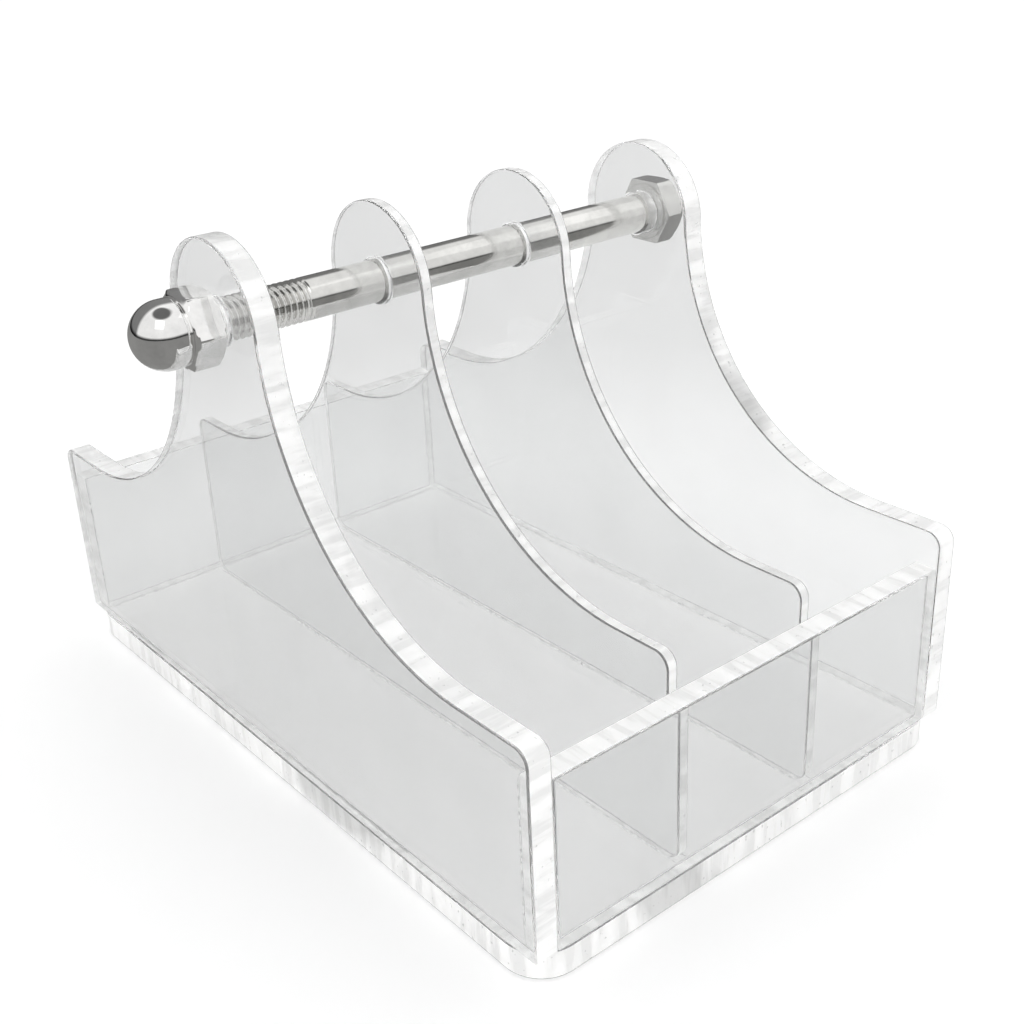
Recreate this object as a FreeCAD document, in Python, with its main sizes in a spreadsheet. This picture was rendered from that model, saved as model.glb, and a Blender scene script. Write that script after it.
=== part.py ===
"""Three-bay clear acrylic rack with a steel rod, as a parametric FreeCAD document.

Flat sheets are glued into an open-topped box: a base, two side plates, a front wall, a back wall
and two dividers that make three bays.  The side plates and the dividers share one fin profile,
low at the front and back and rising through two large hollow curves to a round lobe.  A
hexagon-head bolt runs through the four lobes along X, and an acorn nut closes its far end.

Millimetres, +Z up.  The origin is the centre of the base's underside, the front faces -Y and the
bolt's head is on the +X side.
"""
import FreeCAD, Part
import os

import Sketcher

DIMENSIONS = {
    "sheet": 5.0,              # thickness of the walls and the side plates
    "base_sheet": 6.0,         # thickness of the base
    "divider_sheet": 2.5,      # thickness of the two dividers
    "left_bay": 29.5,          # clear width of each bay
    "middle_bay": 31.0,
    "right_bay": 31.5,
    "depth": 164.0,            # front to back
    "base_corner": 8.0,        # plan radius of the base's corners
    "wall_top": 40.0,          # top of the front and back walls
    "fin_end_top": 47.0,       # top of the fins where they end, front and back
    "fin_corner": 3.0,         # radius at the fins' outer top corners
    "divider_foot": 3.0,       # radius at the dividers' bottom corners
    "hollow_radius": 50.0,     # radius of the hollow curves up to the lobe
    "lobe_radius": 15.0,       # radius of the lobe around the rod
    "rod_height": 95.0,        # the rod's axis above the ground
    "thread_size": 8.0,        # nominal diameter of the bolt
    "hole_across": 8.6,        # holes for the bolt
    "hex_flats": 13.0,         # across the flats of the bolt's head and the nut
    "head_turn": 0.0,          # degrees the head is turned from having a flat at the top
    "nut_turn": 4.0,           # degrees the nut is turned, the same way
    "head_depth": 5.3,         # thickness of the bolt's head
    "face_depth": 0.4,         # thickness of the round bearing faces under the hexagons
    "face_across": 11.8,       # diameter of those faces
    "bolt_reach": 9.0,         # how far the bolt stands out of the rack, into the nut
    "bolt_tip": 0.8,           # chamfer at the bolt's end
    "nut_depth": 15.0,         # whole length of the acorn nut
    "nut_hexagon": 6.5,        # length of its hexagon
    "dome_radius": 6.2,        # radius of its dome
    "nut_bore": 11.0,          # depth of its blind bore
    "bore_across": 8.1,        # diameter of that bore
    # Worked out from those above.
    "width": "=2 * sheet + 2 * divider_sheet + left_bay + middle_bay + right_bay",
    "inner_width": "=width - 2 * sheet",
    "inner_depth": "=depth - 2 * sheet",
    "wall_rise": "=wall_top - base_sheet",
    "wall_place": "=(depth - sheet) / 2",
    "plate_place": "=(width - sheet) / 2",
    "left_divider_place": "=(divider_sheet - width) / 2 + sheet + left_bay",
    "right_divider_place": "=(width - divider_sheet) / 2 - sheet - right_bay",
    "hollow_height": "=fin_end_top + hollow_radius",
    "hollow_place": "=sqrt((hollow_radius + lobe_radius)^2 - (hollow_height - rod_height)^2)",
    "bolt_length": "=width + bolt_reach",
    "corner_radius": "=hex_flats / 2 / cos(30)",
    "crown_radius": "=0.475 * hex_flats",
    "crown_depth": "=(corner_radius - crown_radius) * tan(30)",
    "dome_centre": "=nut_depth - dome_radius",
}

CLOSE = 0.01                   # how near an edge's middle lies to the place it is picked by


def make_dimensions(document):
    """The spreadsheet of dimensions, one alias a row."""
    sheet = document.addObject("Spreadsheet::Sheet", "Size")
    for row, (alias, value) in enumerate(DIMENSIONS.items(), start=1):
        sheet.set(f"A{row}", alias)
        sheet.set(f"B{row}", str(value))
        sheet.setAlias(f"B{row}", alias)
    document.recompute()


def number(item, expression):
    """The value that an expression over the spreadsheet has now."""
    value = item.evalExpression(expression)
    return float(getattr(value, "Value", value))


def new_sketch(body, name, plane_role):
    """A sketch on one of the body's own origin planes."""
    sketch = body.newObject("Sketcher::SketchObject", name)
    plane = [item for item in body.Origin.OriginFeatures if item.Role == plane_role][0]
    sketch.AttachmentSupport = [(plane, "")]
    sketch.MapMode = "FlatFace"
    return sketch


def pin(sketch, geometry, point, across, up):
    """Hold a point of the sketch at a place given by two expressions."""
    for kind, expression in (("DistanceX", across), ("DistanceY", up)):
        value = number(sketch, expression)
        index = sketch.addConstraint(Sketcher.Constraint(kind, -1, 1, geometry, point, value))
        sketch.setExpression(f"Constraints[{index}]", expression)


def bind_radius(sketch, geometry, expression):
    """Give an arc or circle a radius from an expression."""
    value = number(sketch, expression)
    index = sketch.addConstraint(Sketcher.Constraint("Radius", geometry, value))
    sketch.setExpression(f"Constraints[{index}]", expression)


def add_polygon(sketch, places):
    """A closed outline of straight lines through places given as pairs of expressions."""
    points = [FreeCAD.Vector(number(sketch, across), number(sketch, up), 0) for across, up in places]
    lines = [sketch.addGeometry(Part.LineSegment(start, end))
             for start, end in zip(points, points[1:] + points[:1])]
    for line, following in zip(lines, lines[1:] + lines[:1]):
        sketch.addConstraint(Sketcher.Constraint("Coincident", line, 2, following, 1))
    for line, (across, up) in zip(lines, places):
        pin(sketch, line, 1, across, up)
    return lines


def add_rectangle(sketch, half_width, half_height):
    """A rectangle centred on the sketch's origin."""
    signs = ((-1, -1), (1, -1), (1, 1), (-1, 1))
    add_polygon(sketch, [(f"{x} * {half_width}", f"{y} * {half_height}") for x, y in signs])


def add_circle(sketch, radius, centre_height="0"):
    """A circle on the sketch's upright axis."""
    centre = FreeCAD.Vector(0, number(sketch, centre_height), 0)
    circle = Part.Circle(centre, FreeCAD.Vector(0, 0, 1), number(sketch, radius))
    index = sketch.addGeometry(circle)
    bind_radius(sketch, index, radius)
    pin(sketch, index, 3, "0", centre_height)


def add_hexagon(sketch, corner_radius, turned):
    """A hexagon about the sketch's origin, turned from where it has a flat at the top."""
    places = []
    for corner in range(0, 360, 60):
        angle = f"({corner} + {turned})"
        places.append((f"{corner_radius} * cos{angle}", f"{corner_radius} * sin{angle}"))
    add_polygon(sketch, places)


def new_pad(body, sketch, name, length, centred=False):
    """A pad of a sketch, its length given as an expression."""
    pad = body.newObject("PartDesign::Pad", name)
    pad.Profile = sketch
    if centred:
        pad.Midplane = True
    pad.setExpression("Length", length)
    return pad


def new_fillet(body, base, name, radius, chosen):
    """A fillet of the base feature's edges whose middle point passes a test."""
    edges = [f"Edge{place}" for place, edge in enumerate(base.Shape.Edges, start=1)
             if chosen(edge.valueAt((edge.FirstParameter + edge.LastParameter) / 2))]
    fillet = body.newObject("PartDesign::Fillet", name)
    fillet.Base = (base, edges)
    fillet.setExpression("Radius", radius)
    body.Tip = fillet
    return fillet


def place(item, across="0", along="0", up="0"):
    """Put a sub-part in the rack by three expressions."""
    for axis, expression in (("x", across), ("y", along), ("z", up)):
        item.setExpression(f".Placement.Base.{axis}", expression)


def make_base_plate(document):
    """The rectangular base with rounded plan corners."""
    body = document.addObject("PartDesign::Body", "base_plate")
    sketch = new_sketch(body, "BaseOutline", "XY_Plane")
    add_rectangle(sketch, "Size.width / 2", "Size.depth / 2")
    pad = new_pad(body, sketch, "BasePad", "Size.base_sheet")
    document.recompute()
    half_height = number(pad, "Size.base_sheet / 2")
    new_fillet(body, pad, "BaseCorners", "Size.base_corner",
               lambda middle: abs(middle.z - half_height) < CLOSE)
    return body


def make_wall(document, name, along):
    """A wall that closes the bays at the front or the back, standing on the base."""
    body = document.addObject("PartDesign::Body", name)
    sketch = new_sketch(body, name + "_outline", "XY_Plane")
    add_rectangle(sketch, "Size.inner_width / 2", "Size.sheet / 2")
    new_pad(body, sketch, name + "_pad", "Size.wall_rise")
    place(body, along=along, up="Size.base_sheet")
    return body


def add_fin_outline(sketch, half_span):
    """The fin profile: a straight foot and ends, two hollow curves and a lobe, all tangent."""
    side = number(sketch, half_span)
    foot = number(sketch, "Size.base_sheet")
    end_top = number(sketch, "Size.fin_end_top")
    hollow = FreeCAD.Vector(number(sketch, "Size.hollow_place"), number(sketch, "Size.hollow_height"), 0)
    lobe = FreeCAD.Vector(0, number(sketch, "Size.rod_height"), 0)
    hollow_radius = number(sketch, "Size.hollow_radius")
    lobe_radius = number(sketch, "Size.lobe_radius")
    touch = lobe + (hollow - lobe).normalize() * lobe_radius
    left_foot = FreeCAD.Vector(-side, foot, 0)
    right_foot = FreeCAD.Vector(side, foot, 0)
    right_corner = FreeCAD.Vector(side, end_top, 0)
    right_step = FreeCAD.Vector(hollow.x, end_top, 0)
    left_step = FreeCAD.Vector(-hollow.x, end_top, 0)
    left_corner = FreeCAD.Vector(-side, end_top, 0)
    mirrored_touch = FreeCAD.Vector(-touch.x, touch.y, 0)
    right_middle = hollow + FreeCAD.Vector(-1, -1, 0).normalize() * hollow_radius
    left_middle = FreeCAD.Vector(-right_middle.x, right_middle.y, 0)
    crown_top = lobe + FreeCAD.Vector(0, lobe_radius, 0)
    foot_line = sketch.addGeometry(Part.LineSegment(left_foot, right_foot))
    right_side = sketch.addGeometry(Part.LineSegment(right_foot, right_corner))
    right_flat = sketch.addGeometry(Part.LineSegment(right_corner, right_step))
    right_hollow = sketch.addGeometry(Part.Arc(touch, right_middle, right_step))
    crown = sketch.addGeometry(Part.Arc(touch, crown_top, mirrored_touch))
    left_hollow = sketch.addGeometry(Part.Arc(left_step, left_middle, mirrored_touch))
    left_flat = sketch.addGeometry(Part.LineSegment(left_step, left_corner))
    left_side = sketch.addGeometry(Part.LineSegment(left_corner, left_foot))
    joins = (
        ("Coincident", foot_line, 2, right_side, 1),
        ("Coincident", right_side, 2, right_flat, 1),
        ("Coincident", left_flat, 2, left_side, 1),
        ("Coincident", left_side, 2, foot_line, 1),
        ("Tangent", right_flat, 2, right_hollow, 2),
        ("Tangent", right_hollow, 1, crown, 1),
        ("Tangent", crown, 2, left_hollow, 2),
        ("Tangent", left_hollow, 1, left_flat, 1),
    )
    for join in joins:
        sketch.addConstraint(Sketcher.Constraint(*join))
    pin(sketch, foot_line, 1, f"-1 * {half_span}", "Size.base_sheet")
    pin(sketch, foot_line, 2, half_span, "Size.base_sheet")
    pin(sketch, right_flat, 1, half_span, "Size.fin_end_top")
    pin(sketch, left_flat, 2, f"-1 * {half_span}", "Size.fin_end_top")
    pin(sketch, crown, 3, "0", "Size.rod_height")
    bind_radius(sketch, crown, "Size.lobe_radius")
    bind_radius(sketch, right_hollow, "Size.hollow_radius")
    bind_radius(sketch, left_hollow, "Size.hollow_radius")
    for flat in (right_flat, left_flat):
        sketch.addConstraint(Sketcher.Constraint("Horizontal", flat))


def make_fin(document, name, thickness, half_span, across, rounded_foot):
    """A side plate or a divider: the fin profile, its rounded corners and its hole for the bolt."""
    body = document.addObject("PartDesign::Body", name)
    outline = new_sketch(body, name + "_outline", "YZ_Plane")
    add_fin_outline(outline, half_span)
    pad = new_pad(body, outline, name + "_pad", thickness, centred=True)
    document.recompute()
    side = number(pad, half_span)
    end_top = number(pad, "Size.fin_end_top")
    corners = new_fillet(body, pad, name + "_top_corners", "Size.fin_corner",
                         lambda middle: abs(middle.y) > side - CLOSE and abs(middle.z - end_top) < CLOSE)
    document.recompute()
    if rounded_foot:
        foot = number(pad, "Size.base_sheet")
        corners = new_fillet(body, corners, name + "_foot_corners", "Size.divider_foot",
                             lambda middle: abs(middle.y) > side - CLOSE and abs(middle.z - foot) < CLOSE)
        document.recompute()
    hole_sketch = new_sketch(body, name + "_hole_outline", "YZ_Plane")
    add_circle(hole_sketch, "Size.hole_across / 2", "Size.rod_height")
    hole = body.newObject("PartDesign::Pocket", name + "_hole")
    hole.Profile = hole_sketch
    hole.Type = "ThroughAll"
    hole.Midplane = True
    body.Tip = hole
    document.recompute()
    check_cut(hole, corners, "the hole in " + name)
    place(body, across=across)
    return body


def trim_to_hexagon(document, body, blank, length, angle, reversed_way):
    """Cut the flats of a hexagon on a turned blank, over a length from its bearing face."""
    sketch = new_sketch(body, body.Name + "_flats_outline", "YZ_Plane")
    add_circle(sketch, "1.2 * Size.corner_radius")
    add_hexagon(sketch, "Size.corner_radius", angle)
    flats = body.newObject("PartDesign::Pocket", body.Name + "_flats")
    flats.Profile = sketch
    flats.Reversed = reversed_way
    flats.setExpression("Length", length)
    body.Tip = flats
    document.recompute()
    check_cut(flats, blank, "the flats of " + body.Name)
    return flats


def turn(body, sketch, name):
    """A solid of revolution of a sketch about the body's X axis."""
    turned = body.newObject("PartDesign::Revolution", name)
    turned.Profile = sketch
    turned.ReferenceAxis = (sketch, ["H_Axis"])
    turned.Angle = 360.0
    return turned


def make_hex_bolt(document):
    """The bolt: its bearing face at x = 0, its head towards +X and its shank towards -X."""
    body = document.addObject("PartDesign::Body", "hex_bolt")
    sketch = new_sketch(body, "BoltOutline", "XY_Plane")
    add_polygon(sketch, [
        ("-1 * Size.bolt_length", "0"),
        ("Size.head_depth", "0"),
        ("Size.head_depth", "Size.crown_radius"),
        ("Size.head_depth - Size.crown_depth", "Size.corner_radius"),
        ("Size.face_depth", "Size.corner_radius"),
        ("Size.face_depth", "Size.face_across / 2"),
        ("0", "Size.face_across / 2"),
        ("0", "Size.thread_size / 2"),
        ("Size.bolt_tip - Size.bolt_length", "Size.thread_size / 2"),
        ("-1 * Size.bolt_length", "Size.thread_size / 2 - Size.bolt_tip"),
    ])
    turned = turn(body, sketch, "BoltTurned")
    document.recompute()
    trim_to_hexagon(document, body, turned, "Size.head_depth", "Size.head_turn", reversed_way=True)
    place(body, across="Size.width / 2", up="Size.rod_height")
    return body


def make_acorn_nut(document):
    """The acorn nut: its bearing face at x = 0, its dome towards -X and a blind bore inside."""
    body = document.addObject("PartDesign::Body", "acorn_nut")
    sketch = new_sketch(body, "NutOutline", "XY_Plane")
    places = [
        ("-1 * Size.dome_centre", "Size.dome_radius"),
        ("-1 * Size.nut_hexagon", "Size.dome_radius"),
        ("Size.crown_depth - Size.nut_hexagon", "Size.corner_radius"),
        ("-1 * Size.face_depth", "Size.corner_radius"),
        ("-1 * Size.face_depth", "Size.face_across / 2"),
        ("0", "Size.face_across / 2"),
        ("0", "Size.bore_across / 2"),
        ("-1 * Size.nut_bore", "Size.bore_across / 2"),
        ("-1 * Size.nut_bore", "0"),
        ("-1 * Size.nut_depth", "0"),
    ]
    points = [FreeCAD.Vector(number(sketch, across), number(sketch, up), 0) for across, up in places]
    lines = [sketch.addGeometry(Part.LineSegment(start, end)) for start, end in zip(points, points[1:])]
    for line, following in zip(lines, lines[1:]):
        sketch.addConstraint(Sketcher.Constraint("Coincident", line, 2, following, 1))
    for line, (across, up) in zip(lines, places):
        pin(sketch, line, 1, across, up)
    pin(sketch, lines[-1], 2, *places[-1])
    centre = FreeCAD.Vector(points[0].x, 0, 0)
    shoulder = centre + FreeCAD.Vector(-1, 1, 0).normalize() * number(sketch, "Size.dome_radius")
    dome = sketch.addGeometry(Part.Arc(points[0], shoulder, points[-1]))
    sketch.addConstraint(Sketcher.Constraint("Coincident", dome, 1, lines[0], 1))
    sketch.addConstraint(Sketcher.Constraint("Coincident", dome, 2, lines[-1], 2))
    sketch.addConstraint(Sketcher.Constraint("PointOnObject", dome, 3, -1))
    turned = turn(body, sketch, "NutTurned")
    document.recompute()
    trim_to_hexagon(document, body, turned, "Size.nut_hexagon", "Size.nut_turn", reversed_way=False)
    place(body, across="-1 * Size.width / 2", up="Size.rod_height")
    return body


def check_cut(cut, before, what):
    """Stop if a cut took nothing away."""
    if cut.Shape.Volume > before.Shape.Volume - 0.001:
        raise RuntimeError(f"{what} cut nothing")


def make_rack(document):
    """Every sub-part of the rack."""
    parts = [
        make_base_plate(document),
        make_wall(document, "front_wall", "-1 * Size.wall_place"),
        make_wall(document, "back_wall", "Size.wall_place"),
    ]
    plates = {
        "side_plate_left": "-1 * Size.plate_place",
        "side_plate_right": "Size.plate_place",
    }
    dividers = {
        "divider_left": "Size.left_divider_place",
        "divider_right": "Size.right_divider_place",
    }
    for name, across in plates.items():
        parts.append(make_fin(document, name, "Size.sheet", "Size.depth / 2", across, rounded_foot=False))
    for name, across in dividers.items():
        parts.append(make_fin(document, name, "Size.divider_sheet", "Size.inner_depth / 2", across,
                              rounded_foot=True))
    parts.append(make_hex_bolt(document))
    parts.append(make_acorn_nut(document))
    return parts


def check_document(document, parts):
    """Stop if any object failed or any sub-part is not one valid solid."""
    document.recompute()
    for item in document.Objects:
        if "Invalid" in item.State or "Error" in item.State:
            raise RuntimeError(f"{item.Name} failed: {item.State}")
    for part in parts:
        if part.Shape.isNull() or not part.Shape.isValid() or len(part.Shape.Solids) != 1:
            raise RuntimeError(f"{part.Label} is not one valid solid")


def export_parts(parts):
    """Write one STEP file for each sub-part."""
    os.makedirs("parts", exist_ok=True)
    for part in parts:
        part.Shape.exportStep(os.path.join("parts", part.Label + ".step"))
        box = part.Shape.BoundBox
        print(f"{part.Label:18s} {part.Shape.Volume:10.1f} mm3  "
              f"x {box.XMin:7.2f} {box.XMax:7.2f}  y {box.YMin:7.2f} {box.YMax:7.2f}  "
              f"z {box.ZMin:7.2f} {box.ZMax:7.2f}")


def main():
    document = FreeCAD.newDocument("AcrylicRack")
    make_dimensions(document)
    parts = make_rack(document)
    check_document(document, parts)
    export_parts(parts)


main()
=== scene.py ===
"""Looks of the three-bay clear acrylic rack: polished sheets with cut edges, cement seams and steel rod.

Metres, in the same frame as the CAD: +Z up, -Y the front wall, +X the bolt's head.
"""
import math

import bmesh
import bpy
from mathutils import Matrix, Vector, noise


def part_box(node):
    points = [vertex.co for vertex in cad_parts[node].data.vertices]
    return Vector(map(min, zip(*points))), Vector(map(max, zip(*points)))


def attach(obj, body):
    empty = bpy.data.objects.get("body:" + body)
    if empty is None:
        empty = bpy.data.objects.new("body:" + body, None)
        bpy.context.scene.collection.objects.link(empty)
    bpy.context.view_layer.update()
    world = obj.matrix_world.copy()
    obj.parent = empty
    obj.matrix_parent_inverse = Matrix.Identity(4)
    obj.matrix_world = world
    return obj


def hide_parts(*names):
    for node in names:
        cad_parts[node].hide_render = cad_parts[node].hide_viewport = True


MM = 0.001

# The fin profile's own sizes, the same as the CAD's; everything else is read from the frame.
HOLLOW_RADIUS = 50 * MM
FIN_END_TOP = 47 * MM
FIN_CORNER = 3 * MM
DIVIDER_FOOT = 3 * MM
BASE_CORNER = 8 * MM
HOLE_RADIUS = 4.3 * MM

# How the sheets are finished.
SEAM_GAP = 0.03 * MM            # each sheet stops this far short of its neighbour
EDGE_ROUND = 0.35 * MM          # the polished round on every edge of a sheet
ROUND_STEPS = 3
SHARP_CORNER = 0.3 * MM         # the outline's own radius where a sheet has a plain corner
BEAD_RADIUS = 0.16 * MM         # the cement's beads
ACRYLIC_IOR = 1.49
SHEET_TINT = (0.942, 0.947, 0.947, 1)
# painted light: the base is paler in tint and haze than the other sheets, brightening it against the shade
# under the rack
BASE_TINT_PAINTED_LIGHTER = (0.99, 0.99, 0.99, 1)
SHADOW_TINT = (0.985, 0.985, 0.985, 1)
EDGE_GLOW = 0.3                 # a small light of their own that stands in for light piped to cut edges
UNSTRETCHED = (1, 1, 1)

# The rod.
THREAD_PITCH = 1.25 * MM
THREAD_DEPTH = 0.62 * MM
THREAD_LENGTH = 28 * MM
ROD_RADIUS = 4 * MM
GROOVE_HALF_WIDTH = 0.42        # of one pitch
GROOVE_FLAT = 1.18              # above 1, the groove has a flat bottom

# The hexagons: across the flats, and how far each is turned from having a flat at the top.
HEX_FLATS = 13 * MM
HEAD_TURN = 0
NUT_TURN = 4
CROWN_RADIUS = 0.475 * HEX_FLATS
CORNER_SOFTENING = 0.1 * MM
FACE_RADIUS = 5.9 * MM          # the round bearing face under each hexagon
FACE_HEIGHT = 0.4 * MM
NUT_HEXAGON = 6.5 * MM          # bearing face to the end of the nut's hexagon
NUT_BORE = 4.04 * MM
NUT_DEPTH = 11 * MM
DOME_RADIUS = 6.2 * MM
TURNED_SIDES = 120              # points round every turned piece


# ---------------------------------------------------------------- small helpers

def new_object(name, mesh, materials):
    """An object of a mesh, linked to the scene, with its material slots."""
    piece = bpy.data.objects.new(name, mesh)
    bpy.context.scene.collection.objects.link(piece)
    for material in materials:
        mesh.materials.append(material)
    return piece


def arc(centre, radius, start, end, steps):
    """Points on an arc in the plane, angles in degrees."""
    points = []
    for step in range(steps + 1):
        angle = math.radians(start + (end - start) * step / steps)
        points.append(Vector((centre[0] + radius * math.cos(angle), centre[1] + radius * math.sin(angle))))
    return points


def without_repeats(points):
    """The same closed outline with no point on top of the one before it."""
    kept = []
    for point in points:
        if not kept or (point - kept[-1]).length > 1e-7:
            kept.append(point)
    if (kept[0] - kept[-1]).length <= 1e-7:
        kept.pop()
    return kept


def inset(outline, distance):
    """The outline moved inwards, to the left of its direction, by a distance."""
    moved = []
    count = len(outline)
    for place, point in enumerate(outline):
        before = (point - outline[place - 1]).normalized()
        after = (outline[(place + 1) % count] - point).normalized()
        left_before = Vector((-before.y, before.x))
        left_after = Vector((-after.y, after.x))
        moved.append(point + (left_before + left_after) * distance / (1 + left_before.dot(left_after)))
    return moved


# ---------------------------------------------------------------- sheets

def sheet_mesh(name, outline, holes, half_thickness, to_world):
    """A flat sheet of an outline with holes, with every edge rounded, as one closed mesh.

    Its two faces and the walls of its holes use the first material slot, its rim the second and its
    rounded edges the third.
    """
    mesh = bpy.data.meshes.new(name)
    builder = bmesh.new()
    profile = []
    for step in range(ROUND_STEPS + 1):
        angle = math.radians(90 * step / ROUND_STEPS)
        drop = EDGE_ROUND * (1 - math.cos(angle))
        profile.append((EDGE_ROUND * (1 - math.sin(angle)), half_thickness - drop))
    layers = profile + [(distance, -height) for distance, height in reversed(profile)]
    caps = ([], [])
    for loop in [outline] + holes:
        rings = []
        for distance, height in layers:
            ring = [builder.verts.new((point.x, point.y, height)) for point in inset(loop, distance)]
            rings.append(ring)
        for step, (upper, lower) in enumerate(zip(rings, rings[1:])):
            for place in range(len(loop)):
                after = (place + 1) % len(loop)
                face = builder.faces.new((upper[place], lower[place], lower[after], upper[after]))
                face.material_index = 0 if loop is not outline else 1 if step == ROUND_STEPS else 2
                face.smooth = True
        for cap, ring in zip(caps, (rings[0], rings[-1])):
            for place in range(len(ring)):
                border = builder.edges.get((ring[place - 1], ring[place]))
                border.smooth = False
                cap.append(border)
    for cap in caps:
        filled = bmesh.ops.triangle_fill(builder, use_beauty=True, use_dissolve=False, edges=cap)
        for item in filled["geom"]:
            if isinstance(item, bmesh.types.BMFace):
                item.material_index = 0
                item.smooth = False
    bmesh.ops.recalc_face_normals(builder, faces=builder.faces)
    builder.transform(to_world)
    builder.to_mesh(mesh)
    builder.free()
    return mesh


def fin_outline(half_span, foot, foot_radius, rod_height, lobe_radius):
    """The fin profile, anticlockwise from the foot: ends, hollow curves and lobe."""
    hollow_height = FIN_END_TOP + HOLLOW_RADIUS
    reach = HOLLOW_RADIUS + lobe_radius
    hollow_place = math.sqrt(reach ** 2 - (hollow_height - rod_height) ** 2)
    lean = math.degrees(math.asin((hollow_height - rod_height) / reach))
    side = arc((half_span - foot_radius, foot + foot_radius), foot_radius, -90, 0, 8)
    side += arc((half_span - FIN_CORNER, FIN_END_TOP - FIN_CORNER), FIN_CORNER, 0, 90, 8)
    side += arc((hollow_place, hollow_height), HOLLOW_RADIUS, 270, 180 + lean, 72)
    lobe = arc((0, rod_height), lobe_radius, lean, 180 - lean, 72)
    mirrored = [Vector((-point.x, point.y)) for point in reversed(side)]
    return without_repeats(side + lobe + mirrored)


def rectangle_outline(half_width, low, high, radius):
    """A rectangle with rounded corners, anticlockwise."""
    corners = (((half_width - radius, low + radius), -90), ((half_width - radius, high - radius), 0),
               ((radius - half_width, high - radius), 90), ((radius - half_width, low + radius), 180))
    outline = []
    for centre, start in corners:
        outline += arc(centre, radius, start, start + 90, 16)
    return without_repeats(outline)


def axes_matrix(across, up, through, centre):
    """A matrix that takes a sheet's own directions to the rack's, about a centre."""
    matrix = Matrix((across, up, through)).transposed().to_4x4()
    matrix.translation = centre
    return matrix


def middle(node):
    """The middle of a node's box."""
    low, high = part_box(node)
    return (Vector(low) + Vector(high)) / 2


def span(node):
    """The size of a node's box."""
    low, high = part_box(node)
    return Vector(high) - Vector(low)


X_AXIS, Y_AXIS, Z_AXIS = Vector((1, 0, 0)), Vector((0, 1, 0)), Vector((0, 0, 1))


def make_fin(node, foot_radius, rod_height, materials):
    """A side plate or a divider in place of its CAD node."""
    low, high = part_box(node)
    lobe_radius = high[2] - rod_height
    outline = fin_outline(high[1] - SEAM_GAP, low[2] + SEAM_GAP, foot_radius, rod_height, lobe_radius)
    hole = list(reversed(without_repeats(arc((0, rod_height), HOLE_RADIUS, 0, 360, 64))))
    matrix = axes_matrix(Y_AXIS, Z_AXIS, X_AXIS, Vector((middle(node).x, 0, 0)))
    mesh = sheet_mesh(node, outline, [hole], span(node).x / 2 - SEAM_GAP, matrix)
    place_sheet(node, mesh, materials)


def make_wall(node, materials):
    """The front or back wall in place of its CAD node."""
    low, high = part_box(node)
    outline = rectangle_outline(high[0] - SEAM_GAP, low[2] + SEAM_GAP, high[2], SHARP_CORNER)
    matrix = axes_matrix(X_AXIS, Z_AXIS, -Y_AXIS, Vector((0, middle(node).y, 0)))
    mesh = sheet_mesh(node, outline, [], span(node).y / 2, matrix)
    place_sheet(node, mesh, materials)


def make_base(materials):
    """The base plate in place of its CAD node."""
    node = "base_plate"
    low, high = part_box(node)
    outline = rectangle_outline(high[0], low[1], high[1], BASE_CORNER)
    matrix = axes_matrix(X_AXIS, Y_AXIS, Z_AXIS, Vector((0, 0, middle(node).z)))
    mesh = sheet_mesh(node, outline, [], span(node).z / 2 - SEAM_GAP, matrix)
    place_sheet(node, mesh, materials)


def place_sheet(node, mesh, materials):
    """Show a sheet instead of its CAD node, on the rack."""
    piece = new_object(node + "_sheet", mesh, materials)
    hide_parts(node)
    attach(piece, "rack")


# ---------------------------------------------------------------- cement seams

def add_bead(builder, start, end, radius, sides, seed):
    """A thin uneven bead of cement between two points, closed at its ends."""
    direction = (end - start).normalized()
    first = direction.orthogonal().normalized()
    second = direction.cross(first)
    steps = max(2, int((end - start).length / (1.5 * MM)))
    rings = []
    for step in range(steps + 1):
        place = start.lerp(end, step / steps)
        swell = 1 + 0.6 * noise.noise(Vector((step * 0.35, seed, 0.5)))
        taper = min(1.0, 0.3 + step / 2, 0.3 + (steps - step) / 2)
        ring = []
        for side in range(sides):
            angle = 2 * math.pi * side / sides
            offset = first * math.cos(angle) + second * math.sin(angle)
            ring.append(builder.verts.new(place + offset * radius * swell * taper))
        rings.append(ring)
    for near, far in zip(rings, rings[1:]):
        for side in range(sides):
            after = (side + 1) % sides
            builder.faces.new((near[side], near[after], far[after], far[side])).smooth = True
    builder.faces.new(list(reversed(rings[0])))
    builder.faces.new(rings[-1])


def seam_lines():
    """The inside corners where sheets are cemented, as pairs of end points."""
    floor_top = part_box("base_plate")[1][2]
    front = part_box("front_wall")[1][1]
    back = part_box("back_wall")[0][1]
    wall_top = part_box("front_wall")[1][2]
    faces = []
    for node in ("side_plate_left", "divider_left", "divider_right", "side_plate_right"):
        low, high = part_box(node)
        if node != "side_plate_left":
            faces.append(low[0])
        if node != "side_plate_right":
            faces.append(high[0])
    lines = []
    for face in faces:
        lines.append((Vector((face, front, floor_top)), Vector((face, back, floor_top))))
    for face in (faces[0], faces[-1]):
        for wall in (front, back):
            lines.append((Vector((face, wall, floor_top)), Vector((face, wall, wall_top))))
    for wall in (front, back):
        for left, right in zip(sorted(faces)[0::2], sorted(faces)[1::2]):
            lines.append((Vector((left, wall, floor_top)), Vector((right, wall, floor_top))))
    return lines


def make_cement(material):
    """All the beads of cement, as one piece."""
    builder = bmesh.new()
    for seed, (start, end) in enumerate(seam_lines()):
        shorten = (end - start).normalized() * 0.6 * MM
        add_bead(builder, start + shorten, end - shorten, BEAD_RADIUS, 8, seed * 3.7)
    mesh = bpy.data.meshes.new("cement_seams")
    bmesh.ops.recalc_face_normals(builder, faces=builder.faces)
    builder.to_mesh(mesh)
    builder.free()
    piece = new_object("cement_seams", mesh, [material])
    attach(piece, "rack")


# ---------------------------------------------------------------- bolt and nut

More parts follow.
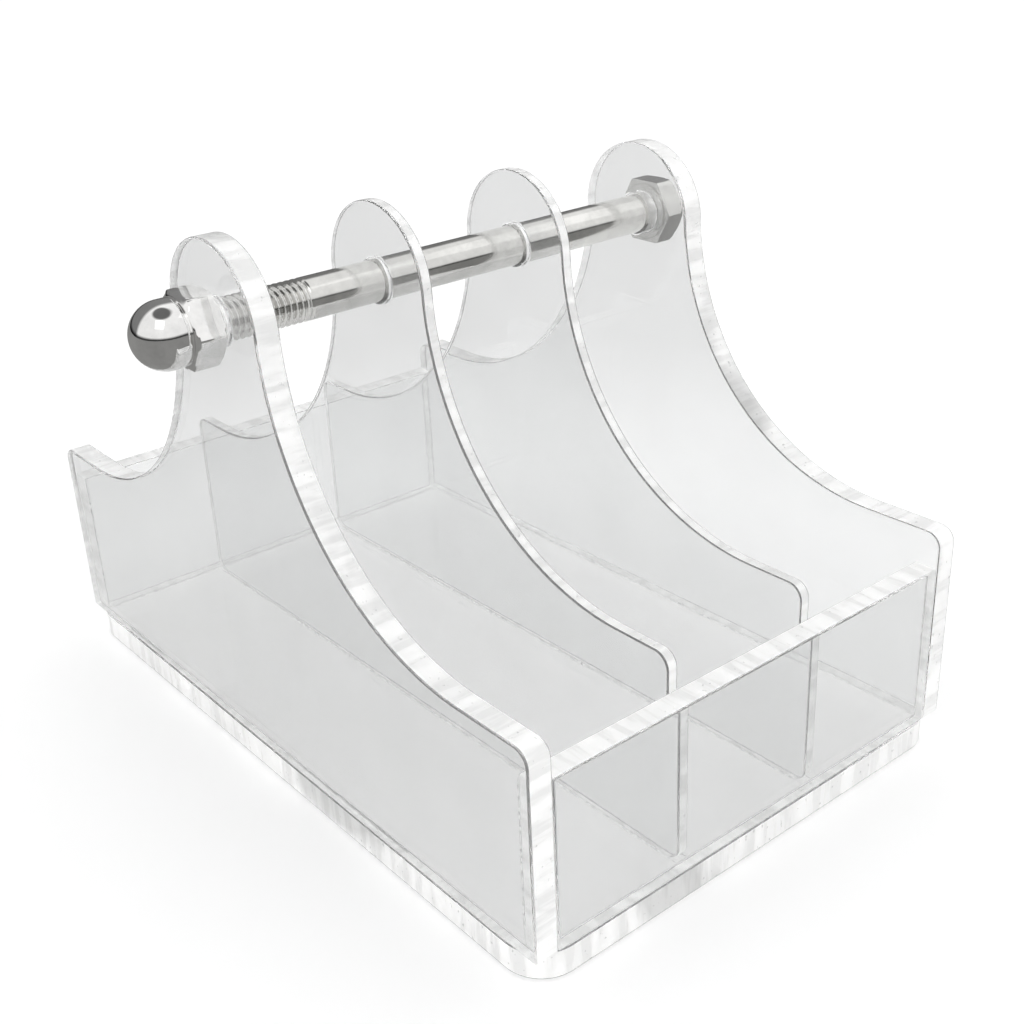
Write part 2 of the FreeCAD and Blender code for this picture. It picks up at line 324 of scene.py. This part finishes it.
def lathe(builder, profile, sides):
    """Rings of a turned surface about the X axis, through pairs of distance along X and radius."""
    rings = []
    for along, radius in profile:
        ring = []
        for side in range(sides):
            angle = 2 * math.pi * side / sides
            ring.append(builder.verts.new((along, radius * math.cos(angle), radius * math.sin(angle))))
        rings.append(ring)
    join_rings(builder, rings)
    return rings


def join_rings(builder, rings):
    """Faces between rings of equal numbers of points."""
    for near, far in zip(rings, rings[1:]):
        count = len(near)
        for side in range(count):
            after = (side + 1) % count
            builder.faces.new((near[side], near[after], far[after], far[side])).smooth = True


def close_ring(builder, ring, along):
    """A fan that closes a ring at its middle."""
    centre = builder.verts.new((along, 0, 0))
    for side in range(len(ring)):
        after = (side + 1) % len(ring)
        builder.faces.new((ring[side], ring[after], centre)).smooth = True


def hexagon_radius(angle, rounding):
    """Distance to the side of a hexagon whose first corner is at angle 0, with softened corners."""
    from_flat = angle % (math.pi / 3) - math.pi / 6
    sharp = HEX_FLATS / 2 / math.cos(from_flat)
    corner = HEX_FLATS / 2 / math.cos(math.pi / 6)
    return min(sharp, corner - rounding)


def hexagon_rings(builder, along_low, along_high, turned, sides, crown_ends):
    """A hexagon prism about X whose ends are turned to a 30 degree crown where asked."""
    steps = 14
    rings = []
    for step in range(steps + 1):
        along = along_low + (along_high - along_low) * (0.5 - 0.5 * math.cos(math.pi * step / steps))
        ring = []
        for side in range(sides):
            angle = 2 * math.pi * side / sides
            radius = hexagon_radius(angle - math.radians(turned), CORNER_SOFTENING)
            for end, used in zip((along_low, along_high), crown_ends):
                if used:
                    radius = min(radius, CROWN_RADIUS + abs(along - end) / math.tan(math.radians(30)))
            ring.append(builder.verts.new((along, radius * math.cos(angle), radius * math.sin(angle))))
        rings.append(ring)
    join_rings(builder, rings)
    return rings


def thread_radius(along, angle, start, end):
    """The rod's radius on its thread: a rounded sixty-degree groove that runs out at its end."""
    turn = ((along - start) / THREAD_PITCH - angle / (2 * math.pi)) % 1.0
    groove = max(0.0, 1 - abs(turn - 0.5) / GROOVE_HALF_WIDTH)
    groove = min(1.0, groove * GROOVE_FLAT)
    run_out = min(1.0, max(0.0, (end - along) / (1.6 * THREAD_PITCH)))
    return ROD_RADIUS - THREAD_DEPTH * groove * run_out


def make_bolt(material, rod_height):
    """The bolt: head, bearing face, plain shank and a real helical thread."""
    low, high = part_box("hex_bolt")
    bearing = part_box("side_plate_right")[1][0]
    builder = bmesh.new()
    tip, head_end = low[0], high[0]
    thread_end = tip + THREAD_LENGTH
    rings = []
    steps = int(THREAD_LENGTH / THREAD_PITCH * 22)
    for step in range(steps + 1):
        along = tip + THREAD_LENGTH * step / steps
        chamfer = ROD_RADIUS - 0.8 * MM + (along - tip)
        ring = []
        for side in range(TURNED_SIDES):
            angle = 2 * math.pi * side / TURNED_SIDES
            radius = min(chamfer, thread_radius(along, angle, tip, thread_end))
            ring.append(builder.verts.new((along, radius * math.cos(angle), radius * math.sin(angle))))
        rings.append(ring)
    join_rings(builder, rings)
    close_ring(builder, list(reversed(rings[0])), tip)
    shank = [(thread_end + 0.001 * MM, ROD_RADIUS)]
    shank += [(thread_end + (bearing - thread_end) * step / 40, ROD_RADIUS) for step in range(1, 40)]
    shank += [(bearing - 0.5 * MM, ROD_RADIUS), (bearing + 0.01 * MM, ROD_RADIUS)]
    shank += [(bearing + 0.01 * MM, FACE_RADIUS - 0.1 * MM), (bearing + 0.1 * MM, FACE_RADIUS)]
    shank += [(bearing + FACE_HEIGHT, FACE_RADIUS)]
    turned = lathe(builder, shank, TURNED_SIDES)
    join_rings(builder, [rings[-1], turned[0]])
    head_start, head_stop = bearing + FACE_HEIGHT, head_end - 0.02 * MM
    head = hexagon_rings(builder, head_start, head_stop, HEAD_TURN, TURNED_SIDES, (False, True))
    join_rings(builder, [turned[-1], head[0]])
    top = [(head_end, CROWN_RADIUS * part) for part in (0.95, 0.6, 0.2)]
    dish = lathe(builder, top, TURNED_SIDES)
    join_rings(builder, [head[-1], dish[0]])
    close_ring(builder, dish[-1], head_end)
    finish_metal(builder, "hex_bolt", "rod_bolt", "bolt", material, rod_height)


def make_nut(material, rod_height):
    """The acorn nut: crowned hexagon, neck, round dome and a blind bore."""
    low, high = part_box("acorn_nut")
    bearing, tip = high[0], low[0]
    hexagon_end = bearing - NUT_HEXAGON
    builder = bmesh.new()
    inside = [(bearing - NUT_DEPTH, NUT_BORE * 0.97), (bearing - NUT_DEPTH + 0.2 * MM, NUT_BORE)]
    inside += [(bearing - 0.5 * MM, NUT_BORE)]
    inside += [(bearing - 0.02 * MM, NUT_BORE + 0.45 * MM)]
    mouth = [(bearing - 0.02 * MM, FACE_RADIUS - 0.1 * MM), (bearing - 0.12 * MM, FACE_RADIUS)]
    mouth += [(bearing - FACE_HEIGHT, FACE_RADIUS)]
    rings = lathe(builder, inside + mouth, TURNED_SIDES)
    close_ring(builder, list(reversed(rings[0])), bearing - NUT_DEPTH)
    hexagon = hexagon_rings(builder, bearing - FACE_HEIGHT, hexagon_end, NUT_TURN, TURNED_SIDES,
                            (True, True))
    join_rings(builder, [rings[-1], hexagon[0]])
    neck = [(hexagon_end, DOME_RADIUS - 0.12 * MM), (hexagon_end - 0.25 * MM, DOME_RADIUS - 0.2 * MM)]
    neck += [(hexagon_end - 0.7 * MM, DOME_RADIUS - 0.05 * MM), (hexagon_end - 1.0 * MM, DOME_RADIUS)]
    dome_centre = tip + DOME_RADIUS
    neck += [(dome_centre - DOME_RADIUS * math.sin(turn), DOME_RADIUS * math.cos(turn))
             for turn in (math.pi / 2 * step / 32 for step in range(32))]
    dome = lathe(builder, neck, TURNED_SIDES)
    join_rings(builder, [hexagon[-1], dome[0]])
    close_ring(builder, dome[-1], tip)
    finish_metal(builder, "acorn_nut", "dome_nut", "nut", material, rod_height)


def finish_metal(builder, node, name, body, material, rod_height):
    """Show a turned metal piece instead of its CAD node."""
    bmesh.ops.remove_doubles(builder, verts=builder.verts, dist=0.0005 * MM)
    bmesh.ops.recalc_face_normals(builder, faces=builder.faces)
    builder.transform(Matrix.Translation((0, 0, rod_height)))
    mesh = bpy.data.meshes.new(name)
    builder.to_mesh(mesh)
    builder.free()
    mesh.set_sharp_from_angle(angle=math.radians(35))
    piece = new_object(name, mesh, [material])
    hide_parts(node)
    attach(piece, body)


# ---------------------------------------------------------------- materials

def new_material(name):
    """An empty node material, with its node tree and output."""
    material = bpy.data.materials.new(name)
    material.use_nodes = True
    tree = material.node_tree
    tree.nodes.clear()
    output = tree.nodes.new("ShaderNodeOutputMaterial")
    return material, tree, output


def principled(tree, **values):
    """A Principled shader with plain values on its sockets."""
    shader = tree.nodes.new("ShaderNodeBsdfPrincipled")
    for name, value in values.items():
        shader.inputs[name.replace("_", " ")].default_value = value
    return shader


def object_place(tree, scale):
    """The object's own coordinates, stretched by a scale along each axis."""
    place = tree.nodes.new("ShaderNodeTexCoord")
    mapping = tree.nodes.new("ShaderNodeMapping")
    mapping.inputs["Scale"].default_value = scale
    tree.links.new(place.outputs["Object"], mapping.inputs["Vector"])
    return mapping.outputs["Vector"]


def noise_value(tree, vector, scale, detail=3.0, roughness=0.5):
    """A noise value over a vector."""
    texture = tree.nodes.new("ShaderNodeTexNoise")
    texture.inputs["Scale"].default_value = scale
    texture.inputs["Detail"].default_value = detail
    texture.inputs["Roughness"].default_value = roughness
    tree.links.new(vector, texture.inputs["Vector"])
    return texture.outputs["Fac"]


def remap(tree, value, low, high, to_low, to_high):
    """A value taken from one range to another and clamped."""
    node = tree.nodes.new("ShaderNodeMapRange")
    for name, number in (("From Min", low), ("From Max", high), ("To Min", to_low), ("To Max", to_high)):
        node.inputs[name].default_value = number
    tree.links.new(value, node.inputs["Value"])
    return node.outputs["Result"]


def add_bump(tree, shader, height, distance, strength):
    """A bump on a shader."""
    bump = tree.nodes.new("ShaderNodeBump")
    bump.inputs["Distance"].default_value = distance
    bump.inputs["Strength"].default_value = strength
    tree.links.new(height, bump.inputs["Height"])
    tree.links.new(bump.outputs["Normal"], shader.inputs["Normal"])


def mix_shaders(tree, factor, first, second):
    """A mix of two shader outputs by a factor socket or a number."""
    mix = tree.nodes.new("ShaderNodeMixShader")
    if isinstance(factor, float):
        mix.inputs["Fac"].default_value = factor
    else:
        tree.links.new(factor, mix.inputs["Fac"])
    tree.links.new(first, mix.inputs[1])
    tree.links.new(second, mix.inputs[2])
    return mix.outputs["Shader"]


def multiply(tree, first, second):
    """The product of two value sockets."""
    product = tree.nodes.new("ShaderNodeMath")
    product.operation = "MULTIPLY"
    tree.links.new(first, product.inputs[0])
    tree.links.new(second, product.inputs[1])
    return product.outputs["Value"]


def let_lamps_through(tree, shader):
    """The same shader, but clear to the rays that look for lamps, so clear sheets cast pale shadows."""
    paths = tree.nodes.new("ShaderNodeLightPath")
    clear = tree.nodes.new("ShaderNodeBsdfTransparent")
    clear.inputs["Color"].default_value = SHADOW_TINT
    return mix_shaders(tree, paths.outputs["Is Shadow Ray"], shader, clear.outputs["BSDF"])


def face_material(name, tint, haze_grey):
    """The polished face of clear acrylic: a grey haze, faint smudges and slight waves."""
    material, tree, output = new_material(name)
    clear = principled(tree, Base_Color=tint, IOR=ACRYLIC_IOR, Transmission_Weight=1.0)
    haze_colour = (haze_grey, haze_grey, haze_grey, 1)
    haze = principled(tree, Base_Color=haze_colour, IOR=ACRYLIC_IOR, Roughness=0.3)
    smudges = noise_value(tree, object_place(tree, UNSTRETCHED), 45.0, 4.0)
    tree.links.new(remap(tree, smudges, 0.5, 0.8, 0.0, 0.04), clear.inputs["Roughness"])
    waves = noise_value(tree, object_place(tree, UNSTRETCHED), 18.0, 1.0)
    add_bump(tree, clear, waves, 0.2 * MM, 0.08)
    amount = remap(tree, smudges, 0.3, 0.7, 0.07, 0.11)
    surface = mix_shaders(tree, amount, clear.outputs["BSDF"], haze.outputs["BSDF"])
    tree.links.new(let_lamps_through(tree, surface), output.inputs["Surface"])
    return material


def edge_material(name, stretch, clear_share):
    """A cut edge: milky where the saw left it, clear in stretches, with pits and fine lines across it."""
    material, tree, output = new_material(name)
    clear = principled(tree, Base_Color=(0.98, 0.985, 0.985, 1), IOR=ACRYLIC_IOR,
                       Transmission_Weight=1.0, Roughness=0.06)
    lines = noise_value(tree, object_place(tree, stretch), 420.0, 3.0, 0.6)
    add_bump(tree, clear, lines, 0.04 * MM, 0.3)
    milky = milky_shader(tree, (0.99, 0.99, 0.985, 1), lines)
    stretches = noise_value(tree, object_place(tree, UNSTRETCHED), 26.0, 1.0)
    pits = noise_value(tree, object_place(tree, UNSTRETCHED), 900.0, 2.0)
    amount = remap(tree, stretches, clear_share - 0.03, clear_share + 0.03, 0.5, 0.93)
    kept = remap(tree, pits, 0.66, 0.74, 1.0, 0.7)
    surface = mix_shaders(tree, multiply(tree, amount, kept), clear.outputs["BSDF"], milky)
    tree.links.new(let_lamps_through(tree, surface), output.inputs["Surface"])
    return material


def milky_shader(tree, colour, height):
    """A frosted white that takes light from both of its sides and glows a little between its saw lines."""
    outside = principled(tree, Base_Color=colour, Roughness=0.3, IOR=ACRYLIC_IOR, Emission_Color=colour)
    glow = remap(tree, height, 0.42, 0.58, 0.0, EDGE_GLOW)
    tree.links.new(glow, outside.inputs["Emission Strength"])
    add_bump(tree, outside, height, 0.04 * MM, 0.3)
    inside = tree.nodes.new("ShaderNodeBsdfTranslucent")
    inside.inputs["Color"].default_value = colour
    return mix_shaders(tree, 0.4, outside.outputs["BSDF"], inside.outputs["BSDF"])


def cement_material():
    """Set solvent cement: clear with a milky bloom and tiny bubbles."""
    material, tree, output = new_material("set_cement")
    clear = principled(tree, Base_Color=(0.97, 0.97, 0.97, 1), IOR=1.47,
                       Transmission_Weight=1.0, Roughness=0.1)
    milky = principled(tree, Base_Color=(0.96, 0.96, 0.96, 1), Roughness=0.35)
    bubbles = noise_value(tree, object_place(tree, UNSTRETCHED), 700.0, 2.0)
    amount = remap(tree, bubbles, 0.4, 0.6, 0.25, 0.8)
    surface = mix_shaders(tree, amount, clear.outputs["BSDF"], milky.outputs["BSDF"])
    tree.links.new(let_lamps_through(tree, surface), output.inputs["Surface"])
    return material


def steel_material(name, colour, smooth, rough, streaks):
    """Bright plated steel with drawn streaks along the rod and small stains."""
    material, tree, output = new_material(name)
    shader = principled(tree, Metallic=1.0)
    drawn = noise_value(tree, object_place(tree, streaks), 900.0, 4.0, 0.6)
    stains = noise_value(tree, object_place(tree, UNSTRETCHED), 140.0, 4.0, 0.65)
    tree.links.new(remap(tree, stains, 0.35, 0.7, smooth, rough), shader.inputs["Roughness"])
    ramp = tree.nodes.new("ShaderNodeValToRGB")
    ramp.color_ramp.elements[0].position = 0.3
    ramp.color_ramp.elements[0].color = tuple(part * 0.8 for part in colour[:3]) + (1,)
    ramp.color_ramp.elements[1].position = 0.62
    ramp.color_ramp.elements[1].color = colour
    tree.links.new(stains, ramp.inputs["Fac"])
    tree.links.new(ramp.outputs["Color"], shader.inputs["Base Color"])
    add_bump(tree, shader, drawn, 0.01 * MM, 0.25)
    tree.links.new(shader.outputs["BSDF"], output.inputs["Surface"])
    return material


def is_mirrored(tree, paths):
    """A value that is 1 for rays that were mirrored, and 0 for rays that came through a clear sheet."""
    return multiply(tree, paths.outputs["Is Glossy Ray"], paths.outputs["Is Reflection Ray"])


def floor_material():
    """A matt white floor with a faint grain, which is not one plain surface.

    Seen through a clear sheet it carries painted shade, greyer away from the rack, and mirrored in metal it
    is a painted dark reflection: a flat grey glow.
    """
    material, tree, output = new_material("pale_floor")
    paths = tree.nodes.new("ShaderNodeLightPath")
    white = principled(tree, Base_Color=(0.98, 0.98, 0.98, 1), Roughness=0.6, Specular_IOR_Level=0.0)
    # painted shade: a darker copy of the floor for rays that came through a clear sheet
    painted_shade_through_sheets = principled(tree, Roughness=0.6, Specular_IOR_Level=0.0)
    grain = noise_value(tree, object_place(tree, UNSTRETCHED), 400.0)
    for shader in (white, painted_shade_through_sheets):
        add_bump(tree, shader, grain, 0.02 * MM, 0.1)
    distance = tree.nodes.new("ShaderNodeVectorMath")
    distance.operation = "LENGTH"
    tree.links.new(object_place(tree, UNSTRETCHED), distance.inputs[0])
    shade = remap(tree, distance.outputs["Value"], 0.12, 0.24, 1.0, 0.83)
    tree.links.new(shade, painted_shade_through_sheets.inputs["Base Color"])
    # painted reflection: a flat grey glow that metal mirrors instead of the floor
    mirrored = tree.nodes.new("ShaderNodeEmission")
    mirrored.inputs["Color"].default_value = (0.27, 0.27, 0.265, 1)
    is_through = paths.outputs["Is Transmission Ray"]
    # white to the camera, with the painted shade where the floor is seen through a sheet
    lit = mix_shaders(tree, is_through, white.outputs["BSDF"], painted_shade_through_sheets.outputs["BSDF"])
    surface = mix_shaders(tree, is_mirrored(tree, paths), lit, mirrored.outputs["Emission"])
    tree.links.new(surface, output.inputs["Surface"])
    return material


# ---------------------------------------------------------------- set, light and camera

def make_floor():
    """A wide pale floor."""
    builder = bmesh.new()
    bmesh.ops.create_grid(builder, x_segments=1, y_segments=1, size=8.0)
    mesh = bpy.data.meshes.new("floor")
    builder.to_mesh(mesh)
    builder.free()
    floor = new_object("floor", mesh, [floor_material()])
    floor.location.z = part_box("base_plate")[0][2] - 0.05 * MM


def make_world():
    """A soft white dome; in the metal's reflections its back, its horizon and a patch overhead are dark."""
    world = bpy.data.worlds.new("studio")
    world.use_nodes = True
    tree = world.node_tree
    background = tree.nodes["Background"]
    place = tree.nodes.new("ShaderNodeTexCoord")
    parts = tree.nodes.new("ShaderNodeSeparateXYZ")
    ramp = tree.nodes.new("ShaderNodeValToRGB")
    stops = ((0.0, 0.27), (0.49, 0.27), (0.5, 0.03), (0.53, 0.06), (0.58, 0.95), (0.95, 1.0), (0.97, 0.15))
    elements = ramp.color_ramp.elements
    while len(elements) < len(stops):
        elements.new(0.5)
    for element, (position, level) in zip(elements, stops):
        element.position = position
        element.color = (level, level, level, 1)
    tree.links.new(place.outputs["Generated"], parts.inputs["Vector"])
    tree.links.new(remap(tree, parts.outputs["Z"], -1.0, 1.0, 0.0, 1.0), ramp.inputs["Fac"])
    paths = tree.nodes.new("ShaderNodeLightPath")
    choice = tree.nodes.new("ShaderNodeMix")
    choice.data_type = "RGBA"
    colours = [socket for socket in choice.inputs if socket.type == "RGBA"]
    colours[0].default_value = (1, 1, 1, 1)
    tree.links.new(is_mirrored(tree, paths), choice.inputs["Factor"])
    darker_back = remap(tree, parts.outputs["Y"], 0.45, 0.6, 1.0, 0.22)
    tree.links.new(multiply(tree, ramp.outputs["Color"], darker_back), colours[1])
    result = [socket for socket in choice.outputs if socket.type == "RGBA"][0]
    tree.links.new(result, background.inputs["Color"])
    background.inputs["Strength"].default_value = 1.05
    bpy.context.scene.world = world


def make_lamp(name, place, target, size, power):
    """A square softbox."""
    data = bpy.data.lights.new(name, "AREA")
    data.size = size
    data.energy = power
    lamp = bpy.data.objects.new(name, data)
    lamp.location = place
    lamp.rotation_mode = "QUATERNION"
    lamp.rotation_quaternion = (Vector(target) - Vector(place)).to_track_quat("-Z", "Y")
    bpy.context.scene.collection.objects.link(lamp)


def make_camera():
    """The camera, from its place, heading, tilt, roll and lens."""
    place = Vector((-160.35, -215.43, 168.82)) * MM
    heading, tilt, roll = (math.radians(angle) for angle in (-38.54, 25.64, -2.67))
    backward = (math.sin(heading) * math.cos(tilt), -math.cos(heading) * math.cos(tilt), math.sin(tilt))
    forward = -Vector(backward)
    level_right = Vector((math.cos(heading), math.sin(heading), 0))
    level_up = level_right.cross(forward)
    right = level_right * math.cos(roll) + level_up * math.sin(roll)
    up = level_up * math.cos(roll) - level_right * math.sin(roll)
    data = bpy.data.cameras.new("camera")
    data.lens = 49.41
    data.sensor_width = 36.0
    data.clip_start = 0.01
    data.clip_end = 100.0
    camera = bpy.data.objects.new("camera", data)
    camera.matrix_world = axes_matrix(right, up, -forward, place)
    bpy.context.scene.collection.objects.link(camera)
    bpy.context.scene.camera = camera


def make_set():
    """Floor, light and camera."""
    make_floor()
    make_world()
    make_lamp("key", (-0.5, -0.5, 0.9), (0, 0, 0.05), 0.5, 0.6)
    make_lamp("fill", (0.7, -0.2, 0.7), (0, 0, 0.05), 0.6, 0.3)
    make_camera()
    scene = bpy.context.scene
    scene.view_settings.view_transform = "Standard"
    scene.cycles.max_bounces = 32
    scene.cycles.transmission_bounces = 32
    scene.cycles.transparent_max_bounces = 32
    scene.cycles.glossy_bounces = 8


# ---------------------------------------------------------------- the rack

def make_rack():
    """Every piece of the rack."""
    face = face_material("clear_acrylic_face", SHEET_TINT, 0.55)
    # painted light: a paler copy of the face material for the base, offsetting the shade beneath it
    base_face_painted_lighter = face_material("clear_acrylic_base_face", BASE_TINT_PAINTED_LIGHTER, 0.9)
    # painted shade: the rounded edges get a darker copy of the face material, painting dark outlines along
    # every sheet edge
    arris_painted_dark = face_material("clear_acrylic_arris", (0.88, 0.88, 0.88, 1), 0.6)
    fin_materials = [face, edge_material("cut_edge_of_fins", (0.12, 1, 1), 0.42), arris_painted_dark]
    divider_materials = [face, edge_material("cut_edge_of_dividers", (0.12, 1, 1), 0.1), arris_painted_dark]
    wall_materials = [face, edge_material("cut_edge_of_walls", (1, 0.12, 1), 0.3), arris_painted_dark]
    base_materials = [base_face_painted_lighter, edge_material("cut_edge_of_base", (1, 1, 0.12), 0.36), arris_painted_dark]
    rod_height = middle("hex_bolt").z
    make_base(base_materials)
    for node in ("front_wall", "back_wall"):
        make_wall(node, wall_materials)
    for node in ("side_plate_left", "side_plate_right"):
        make_fin(node, SHARP_CORNER, rod_height, fin_materials)
    for node in ("divider_left", "divider_right"):
        make_fin(node, DIVIDER_FOOT, rod_height, divider_materials)
    make_cement(cement_material())
    rod_steel = steel_material("drawn_steel", (0.72, 0.715, 0.695, 1), 0.1, 0.18, (0.03, 1, 1))
    nut_steel = steel_material("polished_steel", (0.9, 0.895, 0.885, 1), 0.04, 0.1, (1, 1, 1))
    make_bolt(rod_steel, rod_height)
    make_nut(nut_steel, rod_height)


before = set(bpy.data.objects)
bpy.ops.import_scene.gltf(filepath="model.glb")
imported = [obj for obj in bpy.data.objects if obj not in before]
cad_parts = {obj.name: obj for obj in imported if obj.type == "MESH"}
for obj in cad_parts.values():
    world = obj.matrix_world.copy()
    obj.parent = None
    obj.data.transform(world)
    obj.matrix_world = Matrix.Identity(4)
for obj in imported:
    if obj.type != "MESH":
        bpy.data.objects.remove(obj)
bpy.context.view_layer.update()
make_rack()
make_set()
